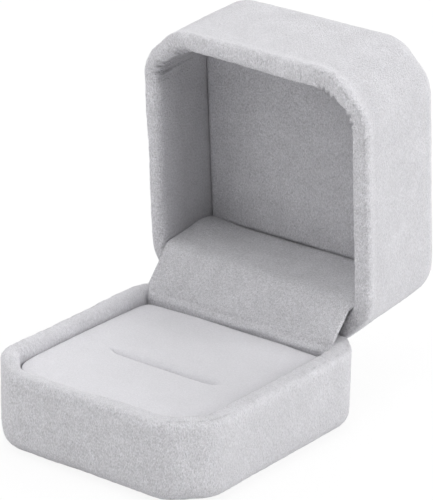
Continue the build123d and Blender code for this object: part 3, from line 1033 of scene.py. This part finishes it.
foam_cells = plain_surface("foam_cells", (0.74, 0.74, 0.70), 2600.0, 0.15, 0.95, 0.6)
hinge_steel = brushed_metal("hinge_steel", (0.62, 0.62, 0.63), 0.32)
spring_steel = brushed_metal("spring_steel", (0.45, 0.47, 0.50), 0.28)

# ---- pieces ----
base_wrap = wrap_cover(
    "base_velvet_wrap", side=-1, width=BASE_WIDTH, depth=BASE_DEPTH, cut=BASE_CUT,
    radius=BASE_CORNER_RADIUS, height=BASE_RIM - BASE_FOOT, far_round=BASE_BOTTOM_ROUND,
    rim=BASE_RIM, lean=0.0, tuck=BASE_TUCK, seed=11)
dress(base_wrap, outer_velvet)
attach(base_wrap, "base")
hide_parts("base_cover")

lid_wrap = wrap_cover(
    "lid_velvet_wrap", side=1, width=LID_WIDTH, depth=LID_DEPTH, cut=LID_CUT,
    radius=LID_CORNER_RADIUS, height=LID_HEIGHT - RIM_GAP / 2, far_round=LID_TOP_ROUND,
    rim=LID_RIM, lean=LID_LEAN, tuck=LID_TUCK, seed=23)
dress(lid_wrap, outer_velvet)
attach(lid_wrap, "lid")
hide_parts("lid_cover")

pad_cloth = make_pad_cloth()
dress(pad_cloth, pad_velvet)
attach(pad_cloth, "base")
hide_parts("pad_cover")

ceiling_panel = make_ceiling_panel()
dress(ceiling_panel, lining_velvet)
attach(ceiling_panel, "lid")
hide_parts("ceiling_cloth")

flap = make_flap()
dress(flap, flap_velvet_painted_light)
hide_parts("hinge_flap")
flap_length = np.linalg.norm(np.diff(flap_path(FINE)[0], axis=0), axis=1).sum()
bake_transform(flap)

spring = make_spring()
dress(spring, spring_steel)
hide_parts("hinge_spring")
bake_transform(spring)

plain_pieces = {
    "base_shell": shell_plastic, "lid_shell": shell_plastic, "bottom_patch": bottom_flock,
    "pad_board": grey_board, "ceiling_board": grey_board, "flap_board": grey_board,
    "pad_foam_front": foam_cells, "pad_foam_rear": foam_cells, "ceiling_foam": foam_cells,
    "hinge_base_leaf": hinge_steel, "hinge_lid_leaf": hinge_steel, "hinge_pin": hinge_steel,
    "hinge_base_rivets": hinge_steel, "hinge_lid_rivets": hinge_steel,
}
for node, material in plain_pieces.items():
    dress(frame["nodes"][node], material)


# ---- stage ----

FLOOR_HALF = 3.0
FLOOR_WHITE_SHARE = 0.9
LAMP_DISTANCE = 0.9
LAMP_TARGET = Vector((0, 0.01, 0.03))
AMBIENT = 0.12


def white_for_camera(material_name, share):
    """A pale diffuse surface that the camera, and any glossy ray, sees as white but for a soft
    shadow: share of what it sees is plain white."""
    material = bpy.data.materials.new(material_name)
    tree = NodeTree(material)
    pale = tree.add("ShaderNodeBsdfDiffuse", {"Color": (0.9, 0.9, 0.9, 1)})
    white = tree.add("ShaderNodeEmission", {"Strength": 1.0})
    white_share = tree.times(tree.eye_rays(), share)
    mix = tree.add("ShaderNodeMixShader", {0: white_share, 1: pale.outputs[0], 2: white.outputs[0]})
    tree.add("ShaderNodeOutputMaterial", {"Surface": mix.outputs[0]})
    return material


def make_floor():
    mesh = bpy.data.meshes.new("floor")
    mesh.from_pydata([(-FLOOR_HALF, -FLOOR_HALF, 0), (FLOOR_HALF, -FLOOR_HALF, 0),
                      (FLOOR_HALF, FLOOR_HALF, 0), (-FLOOR_HALF, FLOOR_HALF, 0)], [],
                     [(0, 1, 2, 3)])
    thing = bpy.data.objects.new("floor", mesh)
    bpy.context.scene.collection.objects.link(thing)
    return dress(thing, white_for_camera("white_floor", FLOOR_WHITE_SHARE))


def soft_lamp(name, azimuth, elevation, size, power):
    """A square area lamp that looks at the box. azimuth 0 is in front and 90 is at +X."""
    data = bpy.data.lights.new(name, "AREA")
    data.shape = "SQUARE"
    data.size = size
    data.energy = power
    lamp = bpy.data.objects.new(name, data)
    a, e = math.radians(azimuth), math.radians(elevation)
    direction = Vector((math.sin(a) * math.cos(e), -math.cos(a) * math.cos(e), math.sin(e)))
    lamp.location = LAMP_TARGET + direction * LAMP_DISTANCE
    lamp.rotation_euler = direction.to_track_quat("Z", "Y").to_euler()
    bpy.context.scene.collection.objects.link(lamp)


def light_room():
    """A dim even light from everywhere, which the camera sees as white."""
    world = bpy.data.worlds.new("studio")
    bpy.context.scene.world = world
    tree = NodeTree(world)
    strength = tree.spread(tree.eye_rays(), 0, 1, AMBIENT, 1.0)
    room = tree.add("ShaderNodeBackground", {"Color": (1, 1, 1, 1), "Strength": strength})
    tree.add("ShaderNodeOutputWorld", {"Surface": room.outputs[0]})


floor = make_floor()
soft_lamp("key", azimuth=106, elevation=25, size=0.6, power=5.6)
soft_lamp("fill", azimuth=-50, elevation=32, size=0.8, power=4.0)
soft_lamp("overhead", azimuth=60, elevation=80, size=0.6, power=2.1)
soft_lamp("high_front", azimuth=15, elevation=62, size=0.6, power=2.2)
soft_lamp("rear", azimuth=200, elevation=40, size=0.8, power=5.2)
light_room()

# ---- camera, at the photograph's viewing angle ----
PHOTO_HEIGHT = 500      # the longer side, in pixels, which the sensor's width spans
FOCAL_PIXELS = 3412.5
CAMERA_AZIMUTH = math.radians(36.7145)
CAMERA_ELEVATION = math.radians(22.0704)
CAMERA_ROLL = math.radians(1.1702)
CAMERA_PLACE = Vector((359.47, -470.20, 276.70 + BASE_FOOT)) * MM

back = Vector((math.sin(CAMERA_AZIMUTH) * math.cos(CAMERA_ELEVATION),
               -math.cos(CAMERA_AZIMUTH) * math.cos(CAMERA_ELEVATION), math.sin(CAMERA_ELEVATION)))
level = Vector((math.cos(CAMERA_AZIMUTH), math.sin(CAMERA_AZIMUTH), 0))
upright = back.cross(level)
right = level * math.cos(CAMERA_ROLL) + upright * math.sin(CAMERA_ROLL)
up = upright * math.cos(CAMERA_ROLL) - level * math.sin(CAMERA_ROLL)
camera_data = bpy.data.cameras.new("camera")
camera_data.sensor_width = 36.0
camera_data.lens = FOCAL_PIXELS / PHOTO_HEIGHT * camera_data.sensor_width
camera_data.clip_start = 0.05
camera_data.clip_end = 20.0
camera = bpy.data.objects.new("camera", camera_data)
camera.matrix_world = Matrix((
    (right.x, up.x, back.x, CAMERA_PLACE.x),
    (right.y, up.y, back.y, CAMERA_PLACE.y),
    (right.z, up.z, back.z, CAMERA_PLACE.z),
    (0, 0, 0, 1)))
bpy.context.scene.collection.objects.link(camera)
bpy.context.scene.camera = camera
bpy.context.scene.view_settings.view_transform = "Standard"
